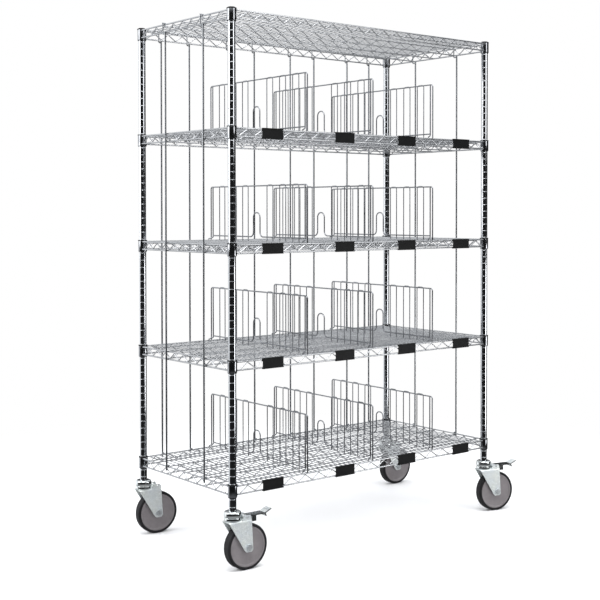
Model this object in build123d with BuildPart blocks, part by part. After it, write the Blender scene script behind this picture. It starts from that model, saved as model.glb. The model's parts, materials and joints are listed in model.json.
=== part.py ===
from build123d import *

import os
from math import cos, floor, radians, sin, sqrt, tan

# A mobile wire shelving cart: four grooved posts on swivel casters carry five welded wire
# shelves. The four lower shelves each hold three wire dividers and four label holders, and
# upright rods close the back and both ends. Millimetres, +Z up. The origin is on the floor,
# midway between the four post axes. X runs along the long sides and the front is at -Y.

os.makedirs("parts", exist_ok=True)

# ---- overall sizes ----
post_span_x = 1190.0  # between post axes along the long sides
post_span_y = 570.5  # between post axes across the cart
shelf_grooves = (2, 18, 33, 48, 63)  # which post groove holds each shelf, counted from the foot

# ---- posts ----
post_d = 25.4
post_wall = 1.6
groove_pitch = 25.4
groove_width = 2.2
groove_depth = 0.6
foot_to_groove = 13.2  # post foot to the first groove
cap_thickness = 2.5
cap_plug_length = 10.0

# ---- corner sleeves and collars ----
collar_height = 38.0
collar_over_post = 6.2  # how much wider the collar is than the post
collar_wall_top = 1.7
sleeve_taper = 0.6  # how much wider the sleeve's radius is at its foot than at its head
sleeve_lip_height = 3.0
sleeve_lip_over_post = 8.0
sleeve_foot_drop = 2.0  # sleeve showing below the collar
sleeve_split = 1.0  # gap between the two halves
press_gap = 0.05  # radial gap between pieces that seat on each other

# ---- shelf wires ----
rail_d = 5.5
rail_offset = 7.75  # rail axis outside the line between the post axes
rail_low = 7.5  # lower rail axis above the collar's foot
rail_high = 34.5  # upper rail axis above the collar's foot
snake_d = 3.8
snake_bend_r = 5.0
snake_half_x = 30.0  # half a wave of the truss wire along the long sides
snake_half_y = 28.5  # half a wave along the short sides
mat_d = 3.4
mat_pitch = 20.3
mat_high = 34.3  # deck wire axis above the collar's foot
inner_d = 4.8
inner_edge_gap = 55.0  # outermost support wire to the rail
inner_count = 5
truss_count = 3  # support wires that have a lower wire and a truss wire
weld_bite = 0.45  # how deep welded wires sink into each other

# ---- dividers ----
divider_height = 204.0  # frame top above the shelf rail's axis
divider_frame_d = 4.6
divider_pin_d = 3.6
divider_shift = 6.0  # middle divider to the side of the shelf's middle
divider_bend_r = 9.0
hairpins_per_side = 3
hairpin_width = 35.0
base_rise = 13.0  # base wire above the frame's feet
loop_half_width = 20.0
loop_bend_r = 18.0
loop_height = 100.0  # loop top above the frame's feet
end_leg_inset = 10.0  # end leg inside the shelf rail
frame_overhang = 3.0  # divider frame outside the shelf rail
foot_reach = 17.0  # how far an end leg's foot bends aside
rest_gap = 0.2  # pieces that rest on each other

# ---- label holders ----
label_length = 85.0
label_wall = 2.0
label_lip = 1.5
label_rim_depth = 1.6
label_rim_height = 2.0  # rims that hold a card along the front face
label_slides = (8.0, 24.0, 23.0, 8.0)  # how far each was slid from its bay's middle
label_clip_reach = 4.6  # how far the clips reach over and under the rails

# ---- upright rods ----
rod_d = 6.35
rod_gap = 0.3  # rod to shelf rail
hook_d = 4.5
back_hook_step = 10.0  # upper hook to the side of its rod, on the back
side_hook_step = 16.0  # the same on the ends
back_rod_half = 60.5  # half the width of a pair on the back
side_rod_half = 120.0  # half the width of the pair on each end
side_rod_slides = {-1: -19.0, 1: 0.0}  # how far each end's pair was slid along its rail
rod_foot_drop = 12.0  # rod end below the bottom shelf's upper rail

# ---- casters ----
wheel_d = 152.4
wheel_width = 32.0
tread_thickness = 9.7
trail = 50.0
caster_turn = {"front_left": -2.0, "rear_left": -6.0, "front_right": -14.0, "rear_right": -2.0}
crown_clearance = 11.6  # tread to crown
steel = 3.0  # fork plate
crown_plate = 4.0
fork_half_width = 22.5
fork_nose = -27.5  # fork's front end, along its own x from the swivel axis
fork_heel = 60.0
fork_crown_r = 6.0  # bends between the crown and the two legs
ear_front = 30.0  # ears that carry the brake pin
ear_rear = 58.0
ear_height = 14.0
ear_corner = 4.0
ear_slope = 8.0
ear_root = 1.0
axle_d = 12.0
nut_across = 19.0
nut_height = 6.5
bush_wall = 3.0
bush_end_play = 0.5
running_gap = 0.06
axle_boss_r = 16.0
race_height = 12.5
race_d = 55.0
race_gap = 0.5
cup_height = 19.0
cup_d = 57.0
cup_shoulder_r = 7.0
cup_rim_r = 1.5
race_rim_r = 3.0
tread_shoulder_r = 4.5
kingpin_d = 12.0
stem_length = 62.0
brake_limit_deg = 9.0
brake_pin_d = 6.0
brake_width = 32.0
brake_sheet = 2.5
brake_boss_wall = 3.0
brake_crown = 1.5  # how much the pressed sheet domes
brake_heel = 6.0  # pedal behind its pin
shoe_front = 66.0
shoe_rear = 82.0
shoe_gap = 0.6  # shoe to tread when pressed
pin_ahead = 44.0  # brake pin ahead of the swivel axis
pin_rise = 8.5  # brake pin above the crown
pedal_tip = ((114.0, 0.0), (121.0, -9.0), (124.0, -9.0), (120.0, 1.0), (143.0, 12.0), (142.0, 15.0))
pedal_dome_end = 116.0
core_hub_width = 7.0
core_hub_slope = 10.0
core_web_half = 12.5
core_shoulder_half = 14.0
core_rim_half = 15.0
core_rim_width = 5.0
core_rim_slope = 9.0
core_hub_drop = 1.0  # hub face inside the bush's end

# ---- values that follow ----
crown_low = wheel_d + crown_clearance
crown_high = crown_low + crown_plate
cup_low = crown_high + race_height + race_gap
post_foot = cup_low + cup_height
bead_height = collar_height / 2
shelf_feet = [post_foot + foot_to_groove + n * groove_pitch - bead_height for n in shelf_grooves]
post_top = shelf_feet[-1] + collar_height + sleeve_lip_height
post_r = post_d / 2
collar_d = post_d + collar_over_post
collar_r = collar_d / 2
sleeve_lip_r = (post_d + sleeve_lip_over_post) / 2
rail_x = post_span_x / 2 + rail_offset
rail_y = post_span_y / 2 + rail_offset
bay = post_span_x / 4
corners = {
    "front_left": (-post_span_x / 2, -post_span_y / 2),
    "front_right": (post_span_x / 2, -post_span_y / 2),
    "rear_left": (-post_span_x / 2, post_span_y / 2),
    "rear_right": (post_span_x / 2, post_span_y / 2),
}


def save(name, solids):
    """Writes one node: a single solid, or a group of separate solids that share it."""
    piece = solids[0] if len(solids) == 1 else Compound(children=solids)
    piece.label = name
    export_step(piece, f"parts/{name}.step")


def upright_plane(x, y):
    """A plane through an upright axis, with its own x outwards and its own y up."""
    return Plane(origin=(x, y, 0), x_dir=(1, 0, 0), z_dir=(0, -1, 0))


def bent_wire(points, bend_r, wire_d):
    """A round wire along straight runs that are joined by bends."""
    with BuildPart() as wire:
        with BuildLine() as path:
            FilletPolyline(*points, radius=bend_r)
        with BuildSketch(Plane(origin=path.wire() @ 0, z_dir=path.wire() % 0)):
            Circle(wire_d / 2)
        sweep()
    return wire.part.solid()


def straight_wires(plane, places, wire_d, length):
    """Parallel round wires that start on a plane."""
    with BuildPart() as wires:
        with BuildSketch(plane):
            with Locations(*places):
                Circle(wire_d / 2)
        extrude(amount=length)
    return list(wires.part.solids())


def truss_wire(half, half_count, low, high, low_d, high_d, place):
    """A zigzag wire between a lower and an upper wire, welded to both at its bends."""
    reach = (high - high_d / 2) - (low + low_d / 2) - snake_d + 2 * weld_bite
    slope_cos = half / sqrt(half**2 + reach**2)
    overshoot = snake_bend_r * (1 / slope_cos - 1)
    bottom = low + (low_d + snake_d) / 2 - weld_bite - overshoot
    top = high - (high_d + snake_d) / 2 + weld_bite + overshoot
    steps = range(half_count + 1)
    points = [place((n - half_count / 2) * half, top if n % 2 else bottom) for n in steps]
    return bent_wire(points, snake_bend_r, snake_d)


# ---- posts and their caps ----
groove_count = shelf_grooves[-1] + 1
post_length = post_top - post_foot
caps = []
for corner, (x, y) in corners.items():
    axis = Axis((x, y, 0), (0, 0, 1))
    with BuildPart() as post:
        with BuildSketch(upright_plane(x, y)):
            with Locations((post_r - post_wall / 2, post_foot + post_length / 2)):
                Rectangle(post_wall, post_length)
            groove_middle = post_foot + foot_to_groove + (groove_count - 1) * groove_pitch / 2
            with Locations((post_r, groove_middle)):
                with GridLocations(groove_pitch, groove_pitch, 1, groove_count):
                    Rectangle(2 * groove_depth, groove_width, mode=Mode.SUBTRACT)
        revolve(axis=axis)
    save(f"post_{corner}", [post.part.solid()])

    with BuildPart() as cap:
        with BuildSketch(Plane.XY.offset(post_top)):
            with Locations((x, y)):
                Circle(post_r)
        extrude(amount=cap_thickness)
        fillet(cap.faces().sort_by(Axis.Z)[-1].edges(), cap_thickness * 0.6)
        with BuildSketch(Plane.XY.offset(post_top - cap_plug_length)):
            with Locations((x, y)):
                Circle(post_r - post_wall - press_gap)
        extrude(amount=cap_plug_length)
    caps.append(cap.part.solid())
save("post_caps", caps)

# ---- split sleeves and the collars that wedge on them ----
sleeve_head_r = collar_r - collar_wall_top - press_gap
sleeve_foot_r = sleeve_head_r + sleeve_taper
sleeve_bore_r = post_r + press_gap
half_turn = 180.0
sleeves = []
for foot in shelf_feet:
    for x, y in corners.values():
        for side in (0, 1):
            turn = radians(45 + half_turn * side)
            split_shift = sleeve_split / 2
            at_x = x - sin(turn) * split_shift
            at_y = y + cos(turn) * split_shift
            cut = Plane(
                origin=(at_x, at_y, foot),
                x_dir=(cos(turn), sin(turn), 0),
                z_dir=(sin(turn), -cos(turn), 0),
            )
            with BuildPart() as sleeve:
                with BuildSketch(cut):
                    with BuildLine():
                        Polyline(
                            (sleeve_bore_r, -sleeve_foot_drop),
                            (sleeve_foot_r, -sleeve_foot_drop),
                            (sleeve_head_r, collar_height + press_gap),
                            (sleeve_lip_r, collar_height + press_gap),
                            (sleeve_lip_r, collar_height + sleeve_lip_height),
                            (sleeve_bore_r, collar_height + sleeve_lip_height),
                            (sleeve_bore_r, bead_height + groove_width / 3),
                            (post_r - groove_depth + press_gap, bead_height + groove_width / 4),
                            (post_r - groove_depth + press_gap, bead_height - groove_width / 4),
                            (sleeve_bore_r, bead_height - groove_width / 3),
                            close=True,
                        )
                    make_face()
                revolve(axis=Axis((x, y, 0), (0, 0, 1)), revolution_arc=half_turn)
                with BuildSketch(Plane(origin=(x, y, foot - sleeve_foot_drop), z_dir=(0, 0, 1))):
                    Rectangle(sleeve_split, 2 * collar_d, rotation=-45)
                extrude(
                    amount=collar_height + sleeve_foot_drop + sleeve_lip_height,
                    mode=Mode.SUBTRACT,
                )
            sleeves.append(sleeve.part.solid())
save("split_sleeves", sleeves)

# ---- one shelf, with its feet at zero, repeated at every level ----
shelf = []
for x, y in corners.values():
    with BuildPart() as collar:
        with BuildSketch(upright_plane(x, y)):
            with BuildLine():
                taper_share = collar_height / (collar_height + sleeve_foot_drop)
                Polyline(
                    (sleeve_head_r + sleeve_taper * taper_share + press_gap, 0),
                    (collar_r, 0),
                    (collar_r, collar_height),
                    (sleeve_head_r + press_gap, collar_height),
                    close=True,
                )
            make_face()
        revolve(axis=Axis((x, y, 0), (0, 0, 1)))
    shelf.append(collar.part.solid())

# rails run from collar to collar and bite into the collar's wall
collar_bite_r = collar_r - collar_wall_top / 2
rail_inner_offset = abs(rail_offset) - rail_d / 2
rail_stop = sqrt(collar_bite_r**2 - rail_inner_offset**2)
long_rail = post_span_x - 2 * rail_stop
short_rail = post_span_y - 2 * rail_stop
long_places = [(side * rail_y, z) for side in (-1, 1) for z in (rail_low, rail_high)]
short_places = [(side * rail_x, z) for side in (-1, 1) for z in (rail_low, rail_high)]
shelf += straight_wires(Plane.YZ.offset(-long_rail / 2), long_places, rail_d, long_rail)
shelf += straight_wires(Plane.XZ.offset(-short_rail / 2), short_places, rail_d, short_rail)

# deck wires cross the shelf from front rail to rear rail
mat_margin = collar_r + mat_d
mat_count = 2 * floor((post_span_x / 2 - mat_margin) / mat_pitch) + 1
mat_middle = (mat_count - 1) / 2
mat_places = [((n - mat_middle) * mat_pitch, mat_high) for n in range(mat_count)]
shelf += straight_wires(Plane.XZ.offset(-rail_y), mat_places, mat_d, 2 * rail_y)

# support wires run lengthwise under the deck, and the middle ones are trusses
inner_high = mat_high - (mat_d + inner_d) / 2 + weld_bite / 2
inner_pitch = 2 * (rail_y - inner_edge_gap) / (inner_count - 1)
inner_places = [((n - (inner_count - 1) / 2) * inner_pitch, inner_high) for n in range(inner_count)]
truss_lines = [(n - (truss_count - 1) / 2) * inner_pitch for n in range(truss_count)]
lower_places = [(y, rail_low) for y in truss_lines]
shelf += straight_wires(Plane.YZ.offset(-rail_x), inner_places, inner_d, 2 * rail_x)
shelf += straight_wires(Plane.YZ.offset(-rail_x), lower_places, inner_d, 2 * rail_x)

halves_x = 2 * floor((post_span_x / 2 - collar_r) / snake_half_x)
halves_y = 2 * floor((post_span_y / 2 - collar_r) / snake_half_y)
for line_y in truss_lines:
    def along_support(x, z, line_y=line_y):
        return (x, line_y, z)

    shelf.append(
        truss_wire(snake_half_x, halves_x, rail_low, inner_high, inner_d, inner_d, along_support)
    )
for side in (-1, 1):
    def along_long_rail(x, z, side=side):
        return (x, side * rail_y, z)

    def along_short_rail(y, z, side=side):
        return (side * rail_x, y, z)

    shelf.append(
        truss_wire(snake_half_x, halves_x, rail_low, rail_high, rail_d, rail_d, along_long_rail)
    )
    shelf.append(
        truss_wire(snake_half_y, halves_y, rail_low, rail_high, rail_d, rail_d, along_short_rail)
    )

for level, foot in enumerate(shelf_feet, 1):
    save(f"shelf_{level}", [solid.moved(Location((0, 0, foot))) for solid in shelf])

# ---- one divider, in the plane X = 0 on a shelf whose feet are at zero ----
frame_y = rail_y + frame_overhang
end_leg_y = rail_y - end_leg_inset
wire_r = divider_frame_d / 2
frame_foot = rail_high + rail_d / 2 + rest_gap
base_z = frame_foot + wire_r
top_z = divider_height + rail_high - wire_r
pin_x = wire_r + divider_pin_d / 2 - weld_bite
pin_top = top_z + wire_r
hairpin_pitch = end_leg_y / (hairpins_per_side + 0.75)
bar_z = base_z + base_rise
loop_z = base_z + loop_height
divider = [
    bent_wire(
        [(0, -frame_y, frame_foot), (0, -frame_y, top_z), (0, frame_y, top_z), (0, frame_y, frame_foot)],
        divider_bend_r,
        divider_frame_d,
    ),
    bent_wire(
        [
            (0, -end_leg_y, bar_z),
            (0, -loop_half_width, bar_z),
            (0, -loop_half_width, loop_z),
            (0, loop_half_width, loop_z),
            (0, loop_half_width, bar_z),
            (0, end_leg_y, bar_z),
        ],
        loop_bend_r,
        divider_frame_d,
    ),
]
for side in (-1, 1):
    divider.append(
        bent_wire(
            [
                (0, side * end_leg_y, top_z),
                (0, side * end_leg_y, base_z + 1.5 * divider_frame_d),
                (-foot_reach, side * (rail_y - wire_r), base_z),
            ],
            divider_frame_d,
            divider_frame_d,
        )
    )
    for n in range(1, hairpins_per_side + 1):
        middle = side * n * hairpin_pitch
        near, far = middle - hairpin_width / 2, middle + hairpin_width / 2
        divider.append(
            bent_wire(
                [
                    (pin_x, near, frame_foot),
                    (pin_x, near, pin_top),
                    (pin_x, far, pin_top),
                    (pin_x, far, frame_foot),
                ],
                divider_bend_r,
                divider_pin_d,
            )
        )

for level, foot in enumerate(shelf_feet[:-1], 1):
    for n, place in enumerate(("left", "middle", "right")):
        at = Location(((n - 1) * bay + divider_shift, 0, foot))
        save(f"divider_{level}_{place}", [solid.moved(at) for solid in divider])

# ---- label holders clipped over both front rails of the four lower shelves ----
label_back = rail_y + rail_d / 2 + rest_gap
label_front = label_back + label_wall
clip_back = rail_y + rail_d / 2 - label_clip_reach
head_low = rail_high + rail_d / 2 + rest_gap
foot_high = rail_low - rail_d / 2 - rest_gap
label_holders = []
for foot in shelf_feet[:-1]:
    for n, slide in enumerate(label_slides):
        start = (n - 1.5) * bay + slide - label_length / 2
        with BuildPart() as holder:
            with BuildSketch(Plane(origin=(start, 0, foot), x_dir=(0, -1, 0), z_dir=(-1, 0, 0))):
                with BuildLine():
                    Polyline(
                        (label_front, foot_high - label_lip),
                        (label_front, head_low + label_lip),
                        (clip_back, head_low + label_lip),
                        (clip_back, head_low),
                        (label_back, head_low),
                        (label_back, foot_high),
                        (clip_back, foot_high),
                        (clip_back, foot_high - label_lip),
                        close=True,
                    )
                make_face()
                for z, inward in ((foot_high - label_lip, Align.MIN), (head_low + label_lip, Align.MAX)):
                    with Locations((label_front, z)):
                        Rectangle(label_rim_depth, label_rim_height, align=(Align.MIN, inward))
            extrude(amount=-label_length)
        label_holders.append(holder.part.solid())
save("label_holders", label_holders)

# ---- upright rods on the back and on both ends, hooked over the top and bottom shelves ----
rod_out = rail_d / 2 + rod_gap + rod_d / 2
rod_low = shelf_feet[0] + rail_high - rod_foot_drop
rod_high = shelf_feet[-1] + rail_low
hook_rest = rail_high + (rail_d + hook_d) / 2 + rest_gap
hook_reach = rod_out + rail_d


def rod_with_hooks(x, y, inward, step):
    """A rod, a hook over the bottom shelf's rail and a stepped hook over the top shelf's."""
    ix, iy = inward
    hook_x, hook_y = x + step[0], y + step[1]
    rod = straight_wires(Plane.XY.offset(rod_low), [(x, y)], rod_d, rod_high - rod_low)
    low_z = shelf_feet[0] + hook_rest
    high_z = shelf_feet[-1] + hook_rest
    low_hook = straight_wires(
        Plane(origin=(x, y, low_z), z_dir=(ix, iy, 0)), [(0, 0)], hook_d, hook_reach
    )
    high_hook = bent_wire(
        [
            (x, y, rod_high - rod_d),
            (hook_x, hook_y, rod_high - rod_d),
            (hook_x, hook_y, high_z),
            (hook_x + ix * hook_reach, hook_y + iy * hook_reach, high_z),
        ],
        hook_d,
        hook_d,
    )
    return rod + low_hook + [high_hook]


back_rods = []
for n in range(4):
    for side in (-1, 1):
        rod_x = (n - 1.5) * bay + side * back_rod_half
        back_rods += rod_with_hooks(rod_x, rail_y + rod_out, (0, -1), (-back_hook_step, 0))
save("back_rods", back_rods)

side_rods = []
for end, slide in side_rod_slides.items():
    for side in (-1, 1):
        rod_y = side * side_rod_half + slide
        side_rods += rod_with_hooks(end * (rail_x + rod_out), rod_y, (-end, 0), (0, side_hook_step))
save("side_rods", side_rods)

# ---- casters ----
axle_z = wheel_d / 2
axle_r = axle_d / 2
core_r = axle_z - tread_thickness
bush_r = axle_r + running_gap + bush_wall
fork_inside = fork_half_width - steel
bush_half = fork_inside - bush_end_play
ear_top = crown_high + ear_height
pin_at = (pin_ahead, crown_high + pin_rise)
side_overhang = brake_pin_d / 4  # bolts and pins past the fork's faces

for corner, (x, y) in corners.items():
    turn = radians(caster_turn[corner])
    ahead = (cos(turn), sin(turn), 0)
    lateral = (-sin(turn), cos(turn), 0)
    side_plane = Plane(origin=(x, y, 0), x_dir=ahead, z_dir=(sin(turn), -cos(turn), 0))
    flat_plane = Plane(origin=(x, y, 0), x_dir=ahead, z_dir=(0, 0, 1))
    upright = Axis((x, y, 0), (0, 0, 1))
    hub = (x + trail * ahead[0], y + trail * ahead[1], axle_z)
    axle = Axis(hub, lateral)
    # wheel section: its own x is the radius and its own y runs along the axle
    wheel_plane = Plane(origin=hub, x_dir=ahead, z_dir=(0, 0, -1))
    name = f"caster_{corner}"

    with BuildPart() as stem:
        with BuildSketch(flat_plane.offset(cup_low)):
            Circle(cup_d / 2)
        extrude(amount=cup_height)
        fillet(stem.faces().sort_by(Axis.Z)[-1].edges(), cup_shoulder_r)
        fillet(stem.faces().sort_by(Axis.Z)[0].edges(), cup_rim_r)
        with BuildSketch(flat_plane.offset(post_foot)):
            Circle(post_r - post_wall - press_gap)
        extrude(amount=stem_length)
        with BuildSketch(flat_plane.offset(crown_low - steel)):
            Circle(kingpin_d / 2)
        extrude(amount=cup_low - crown_low + steel)
        with BuildSketch(flat_plane.offset(crown_low - 2 * steel - race_gap)):
            Circle(kingpin_d * 0.8)
        extrude(amount=2 * steel)
    save(f"{name}_stem", [stem.part.solid()])

    with BuildPart() as race:
        with BuildSketch(flat_plane.offset(crown_high)):
            Circle(race_d / 2)
            Circle(kingpin_d / 2 + running_gap, mode=Mode.SUBTRACT)
        extrude(amount=race_height)
        rims = race.edges().filter_by(GeomType.CIRCLE).sort_by(SortBy.RADIUS)[-2:]
        fillet(rims, race_rim_r)
    save(f"{name}_race", [race.part.solid()])

    with BuildPart() as fork:
        with BuildSketch(side_plane):
            with BuildLine():
                Polyline(
                    (fork_nose, crown_high),
                    (trail - axle_boss_r, axle_z - axle_boss_r * 0.6),
                    (trail - axle_boss_r * 0.6, axle_z - axle_boss_r),
                    (trail + axle_boss_r * 0.6, axle_z - axle_boss_r),
                    (trail + axle_boss_r, axle_z - axle_boss_r * 0.6),
                    (fork_heel, crown_high),
                    close=True,
                )
            make_face()
        extrude(amount=fork_half_width, both=True)
        top_edges = fork.faces().sort_by(Axis.Z)[-1].edges()
        fillet(top_edges.filter_by(Axis((0, 0, 0), ahead)), fork_crown_r)
        with BuildSketch(side_plane):
            with BuildLine():
                Polyline(
                    (fork_nose - axle_boss_r, crown_low),
                    (fork_nose - axle_boss_r, 0),
                    (fork_heel + 2 * axle_boss_r, 0),
                    (fork_heel + 2 * axle_boss_r, crown_low),
                    close=True,
                )
            make_face()
        extrude(amount=fork_inside, both=True, mode=Mode.SUBTRACT)
        for side in (-1, 1):
            with BuildSketch(side_plane.offset(side * fork_inside)):
                with BuildLine():
                    Polyline(
                        (ear_front - ear_slope, crown_low + ear_root),
                        (ear_front, ear_top),
                        (ear_rear - ear_corner, ear_top),
                        (ear_rear, ear_top - ear_corner),
                        (fork_heel, crown_low + ear_root),
                        close=True,
                    )
                make_face()
            extrude(amount=side * steel)
        with BuildSketch(side_plane):
            with Locations((trail, axle_z)):
                Circle(axle_r + press_gap)
            with Locations(pin_at):
                Circle(brake_pin_d / 2 + press_gap)
        extrude(amount=2 * fork_half_width, both=True, mode=Mode.SUBTRACT)
        with BuildSketch(flat_plane.offset(crown_low - steel)):
            Circle(kingpin_d / 2 + running_gap)
        extrude(amount=2 * crown_plate + steel, mode=Mode.SUBTRACT)
    save(f"{name}_fork", [fork.part.solid()])

    with BuildPart() as tread:
        with BuildSketch(wheel_plane):
            with Locations((core_r + tread_thickness / 2, 0)):
                Rectangle(tread_thickness, wheel_width)
        revolve(axis=axle)
        shoulders = tread.edges().filter_by(GeomType.CIRCLE).sort_by(SortBy.RADIUS)[-2:]
        fillet(shoulders, tread_shoulder_r)
    save(f"{name}_tread", [tread.part.solid()])

    with BuildPart() as core:
        with BuildSketch(wheel_plane):
            with BuildLine():
                Polyline(
                    (bush_r + press_gap, bush_half - core_hub_drop),
                    (bush_r + core_hub_width, bush_half - core_hub_drop),
                    (bush_r + core_hub_slope, core_shoulder_half),
                    (core_r - core_rim_slope, core_web_half),
                    (core_r - core_rim_width, core_rim_half),
                    (core_r - press_gap, core_rim_half),
                    (core_r - press_gap, 0),
                    (bush_r + press_gap, 0),
                    close=True,
                )
            make_face()
            mirror(about=Plane.XZ)
        revolve(axis=axle)
    save(f"{name}_wheel_core", [core.part.solid()])

    with BuildPart() as bush:
        with BuildSketch(side_plane.offset(-bush_half)):
            with Locations((trail, axle_z)):
                Circle(bush_r)
                Circle(axle_r + running_gap, mode=Mode.SUBTRACT)
        extrude(amount=2 * bush_half)
    save(f"{name}_bush", [bush.part.solid()])

    with BuildPart() as bolt:
        with BuildSketch(side_plane.offset(-fork_half_width - nut_height - 2 * side_overhang)):
            with Locations((trail, axle_z)):
                Circle(axle_r)
        extrude(amount=2 * fork_half_width + 1.5 * nut_height + 2 * side_overhang)
        with BuildSketch(side_plane.offset(fork_half_width + press_gap)):
            with Locations((trail, axle_z)):
                RegularPolygon(nut_across / 2, 6, major_radius=False)
        extrude(amount=nut_height)
    with BuildPart() as nut:
        with BuildSketch(side_plane.offset(-fork_half_width - press_gap)):
            with Locations((trail, axle_z)):
                RegularPolygon(nut_across / 2, 6, major_radius=False)
                Circle(axle_r + press_gap, mode=Mode.SUBTRACT)
        extrude(amount=-nut_height)
    save(f"{name}_axle_bolt", [bolt.part.solid(), nut.part.solid()])

    if not corner.startswith("front"):
        continue

    # the brake pedal turns on a pin between the fork's ears and presses its shoe on the tread
    with BuildPart() as brake_pin:
        with BuildSketch(side_plane.offset(-fork_half_width - side_overhang)):
            with Locations(pin_at):
                Circle(brake_pin_d / 2)
        extrude(amount=2 * (fork_half_width + side_overhang))
    save(f"{name}_brake_pin", [brake_pin.part.solid()])

    plate_low = pin_at[1] - brake_sheet / 2
    plate_high = plate_low + brake_sheet + brake_crown
    tread_under_shoe = axle_z + sqrt(axle_z**2 - (shoe_front - trail) ** 2)
    shoe_travel = (shoe_rear - pin_ahead) * tan(radians(brake_limit_deg))
    shoe_low = tread_under_shoe + shoe_travel + shoe_gap
    with BuildPart() as pedal:
        with BuildSketch(side_plane):
            with BuildLine():
                Polyline(
                    (pin_ahead - brake_heel, plate_low),
                    (shoe_front, plate_low),
                    (shoe_front, shoe_low),
                    (shoe_rear, shoe_low),
                    (shoe_rear, plate_low),
                    *[(along, plate_low + rise) for along, rise in pedal_tip],
                    (pedal_dome_end, plate_high),
                    (pin_ahead - brake_heel, plate_high),
                    close=True,
                )
            make_face()
        extrude(amount=brake_width / 2, both=True)
        with BuildSketch(side_plane):
            with Locations(pin_at):
                Circle(brake_pin_d / 2 + brake_boss_wall)
        extrude(amount=brake_width / 2, both=True)
        with BuildSketch(side_plane):
            with Locations(pin_at):
                Circle(brake_pin_d / 2 + running_gap)
        extrude(amount=brake_width, both=True, mode=Mode.SUBTRACT)
    save(f"{name}_brake_pedal", [pedal.part.solid()])

print("shelf feet", [round(foot, 1) for foot in shelf_feet], "post top", round(post_top, 1))
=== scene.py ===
import json
import logging
import math
from dataclasses import dataclass, field
from enum import Enum
from typing import Iterable, Sequence

import bpy
import numpy as np
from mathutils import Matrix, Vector


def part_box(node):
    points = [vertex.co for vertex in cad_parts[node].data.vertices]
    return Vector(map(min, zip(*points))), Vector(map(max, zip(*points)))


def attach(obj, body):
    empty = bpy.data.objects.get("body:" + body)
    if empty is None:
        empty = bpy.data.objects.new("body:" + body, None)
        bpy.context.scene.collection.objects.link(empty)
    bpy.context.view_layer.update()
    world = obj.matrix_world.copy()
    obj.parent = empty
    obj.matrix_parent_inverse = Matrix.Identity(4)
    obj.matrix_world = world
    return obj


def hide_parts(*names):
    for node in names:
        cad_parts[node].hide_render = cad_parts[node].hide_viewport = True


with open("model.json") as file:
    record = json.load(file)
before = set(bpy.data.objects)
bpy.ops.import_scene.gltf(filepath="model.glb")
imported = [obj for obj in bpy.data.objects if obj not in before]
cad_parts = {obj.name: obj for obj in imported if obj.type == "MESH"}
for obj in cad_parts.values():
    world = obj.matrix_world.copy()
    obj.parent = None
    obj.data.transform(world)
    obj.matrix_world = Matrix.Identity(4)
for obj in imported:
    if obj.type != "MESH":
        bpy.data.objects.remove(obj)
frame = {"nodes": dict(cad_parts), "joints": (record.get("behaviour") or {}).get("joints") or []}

LOG = logging.getLogger("wire_shelf_cart")
MM = 0.001
SEAT_GAP = 0.05 * MM  # between pieces that seat on each other


# ---------------------------------------------------------------- surfaces


@dataclass
class Surface:
    """A closed surface as arrays: corner places, four-sided faces and many-sided end caps."""

    verts: np.ndarray
    quads: np.ndarray
    caps: list[list[int]] = field(default_factory=list)

    def outward(self) -> "Surface":
        """Turns every face to point out, going by the sign of the enclosed volume.

        Returns:
            The surface itself.
        """
        v, q = self.verts, self.quads
        pairs = ((0, 1, 2), (0, 2, 3))
        volume = sum(
            np.einsum("ij,ij->", v[q[:, a]], np.cross(v[q[:, b]], v[q[:, c]])) for a, b, c in pairs
        )
        for cap in self.caps:
            ring = v[cap]
            volume += np.einsum("ij,ij->", np.broadcast_to(ring[0], ring[2:].shape),
                                np.cross(ring[1:-1], ring[2:]))
        if volume < 0:
            self.quads = q[:, ::-1]
            self.caps = [cap[::-1] for cap in self.caps]
        return self


def joined(surfaces: Iterable[Surface]) -> Surface:
    """Puts several surfaces into one, each still closed on its own.

    Args:
        surfaces: the surfaces to put together.

    Returns:
        One surface with all their faces.
    """
    verts, quads, caps, start = [], [], [], 0
    for piece in surfaces:
        piece.outward()
        verts.append(piece.verts)
        quads.append(piece.quads + start)
        caps += [[n + start for n in cap] for cap in piece.caps]
        start += len(piece.verts)
    return Surface(np.concatenate(verts), np.concatenate(quads), caps)


def grid_faces(rows: int, columns: int, rows_close: bool) -> np.ndarray:
    """Numbers the quads of a grid whose columns close on themselves.

    Args:
        rows: rings along the path or profile.
        columns: points round each ring.
        rows_close: whether the last ring joins the first.

    Returns:
        An array of four corner numbers a face.
    """
    row = np.arange(rows if rows_close else rows - 1)[:, None]
    column = np.arange(columns)[None, :]
    below, right = (row + 1) % rows, (column + 1) % columns
    corners = (row * columns + column, row * columns + right,
               below * columns + right, below * columns + column)
    return np.stack([np.broadcast_to(c, (row.size, columns)).ravel() for c in corners], axis=1)


# The largest sine of a turn that still counts as straight.
STRAIGHT = 1e-6


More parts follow.
